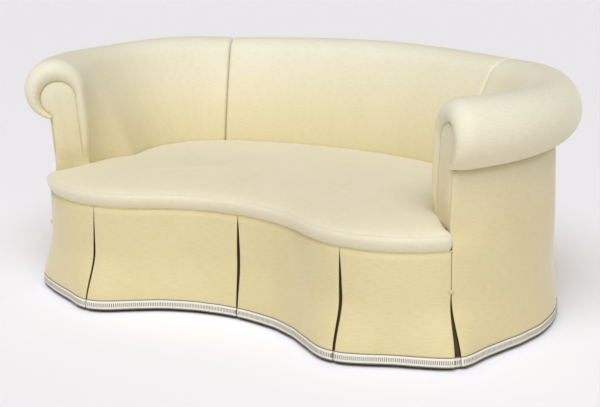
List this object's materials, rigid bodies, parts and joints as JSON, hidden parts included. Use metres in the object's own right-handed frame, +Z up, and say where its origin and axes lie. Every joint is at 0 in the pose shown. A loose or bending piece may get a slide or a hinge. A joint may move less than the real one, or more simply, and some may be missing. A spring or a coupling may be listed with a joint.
{
  "type": "kidney settee",
  "caption": "Kidney-shaped upholstered settee with a wrap-around rolled back and arms, a soft-edged seat and a pleated skirt to the floor with woven tape.",
  "frame": {"origin": "centre of the bounding box on the floor, under the feet", "axes": "+X along the settee's length, towards the sitter's left; +Y to the back; +Z up"},
  "size_m": [1.94, 1.2792, 0.8046],
  "materials": {
    "cream_cloth": "ribbed silk and cotton cloth, soft sheen",
    "cream_trim": "the same cloth over cord and button",
    "woven_tape": "woven tape with a ladder of bars",
    "underlay_cloth": "the same cloth in shade",
    "dark_beech": "dark stain, satin",
    "beech": "planed, unfinished",
    "steel": "oiled",
    "hessian": "jute",
    "stuffing": "hair and cotton felt"
  },
  "bodies": {
    "root": {"arm_cover_left": "cream_cloth", "arm_cover_right": "cream_cloth", "arm_facing_left": "cream_cloth", "arm_facing_right": "cream_cloth", "arm_front_post_left": "beech", "arm_front_post_right": "beech", "arm_lining_left": "hessian", "arm_lining_right": "hessian", "arm_stuffing_left": "stuffing", "arm_stuffing_right": "stuffing", "back_cover": "cream_cloth", "back_lining": "hessian", "back_stuffing": "stuffing", "corner_blocks": "beech", "cross_rails": "beech", "dust_cover": "hessian", "facing_board_left": "beech", "facing_board_right": "beech", "facing_piping_left": "cream_trim", "facing_piping_right": "cream_trim", "hem_tape": "woven_tape", "leg_bolts": "steel", "leg_glides": "steel", "legs_back": "dark_beech", "legs_front": "dark_beech", "legs_side": "dark_beech", "outside_arm_left": "cream_cloth", "outside_arm_right": "cream_cloth", "outside_back": "cream_cloth", "pleat_buttons": "cream_trim", "pleat_underlay_corner": "underlay_cloth", "pleat_underlay_front": "underlay_cloth", "pleat_underlay_rear": "underlay_cloth", "seat_cover": "cream_cloth", "seat_edge_roll": "stuffing", "seat_rail_back": "beech", "seat_rail_front": "beech", "seat_rail_side_left": "beech", "seat_rail_side_right": "beech", "seat_springs": "steel", "seat_stuffing": "stuffing", "seat_welt": "cream_trim", "skirt_inner_left": "cream_cloth", "skirt_inner_right": "cream_cloth", "skirt_outer_left": "cream_cloth", "skirt_outer_right": "cream_cloth", "spring_hessian": "hessian", "tack_rail_arm_left": "beech", "tack_rail_arm_right": "beech", "tack_rail_back": "beech", "tack_strips": "beech", "top_rail_arm_left": "beech", "top_rail_arm_right": "beech", "top_rail_back": "beech", "underlay_tape": "woven_tape", "wall_posts": "beech", "wall_slats": "beech", "wall_spacers": "beech", "webbing_front_to_back": "hessian", "webbing_side_to_side": "hessian"}
  },
  "joints": []
}
